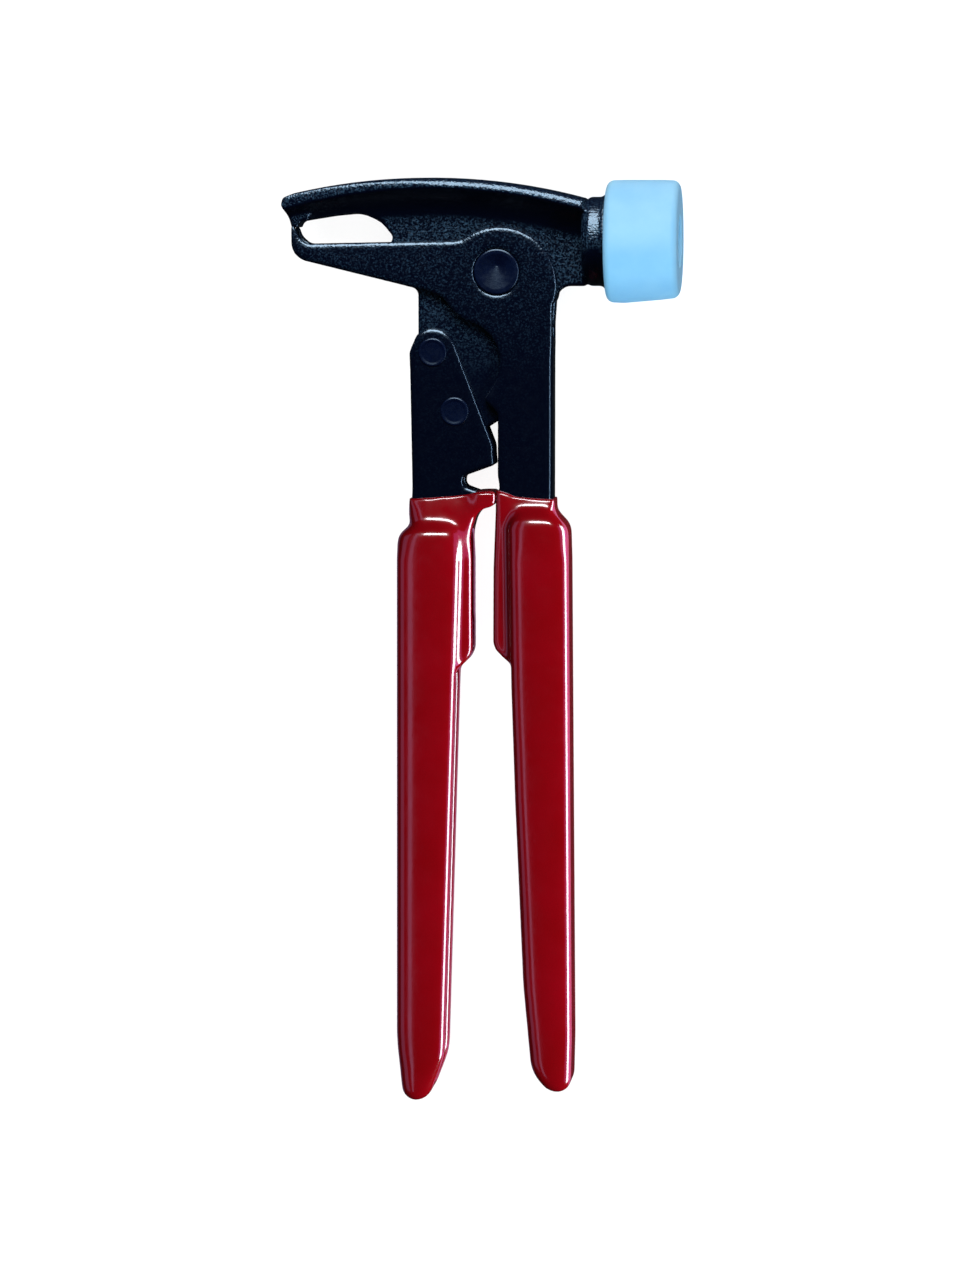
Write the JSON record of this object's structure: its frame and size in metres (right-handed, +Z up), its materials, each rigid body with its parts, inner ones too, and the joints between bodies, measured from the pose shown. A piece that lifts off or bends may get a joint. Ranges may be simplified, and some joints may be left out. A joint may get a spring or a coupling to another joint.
{
  "type": "wheel-weight hammer plier",
  "caption": "Hand tool with a forged head: plastic-faced hammer on one side, beaked plier jaw on the other, stamped channel handles in red dipped grips.",
  "frame": {"origin": "on the surface that the tool lies on, under the middle of its bounding box", "axes": "+Y along the handles towards the head, +X towards the hammer's striking face, +Z up through the tool's thickness, parallel to the pivot pin"},
  "size_m": [0.1141, 0.2678, 0.035],
  "materials": {
    "black_forging": "fine-grained black coat over a forged surface",
    "black_stamping": "satin black coat, fine grain",
    "black_rivet": "smooth black",
    "pale_blue_plastic": "slightly translucent, satin",
    "zinc_steel": "dull zinc",
    "red_dip": "glossy dipped vinyl"
  },
  "bodies": {
    "root": {"head_forging": "black_forging", "hammer_tip": "pale_blue_plastic", "tip_screw": "zinc_steel", "tip_washer": "zinc_steel", "fixed_handle": "black_stamping", "fixed_grip": "red_dip", "handle_rivet_upper": "black_rivet", "handle_rivet_lower": "black_rivet"},
    "lever": {"jaw_lever": "black_stamping", "lever_grip": "red_dip", "pivot_pin": "black_rivet"}
  },
  "joints": [
    {"name": "jaw_pivot", "type": "hinge", "parent": "root", "child": "lever", "pos_m": [0.00495, 0.1072, 0.0175], "axis": [0, 0, 1], "range_deg": [0, 28]}
  ]
}
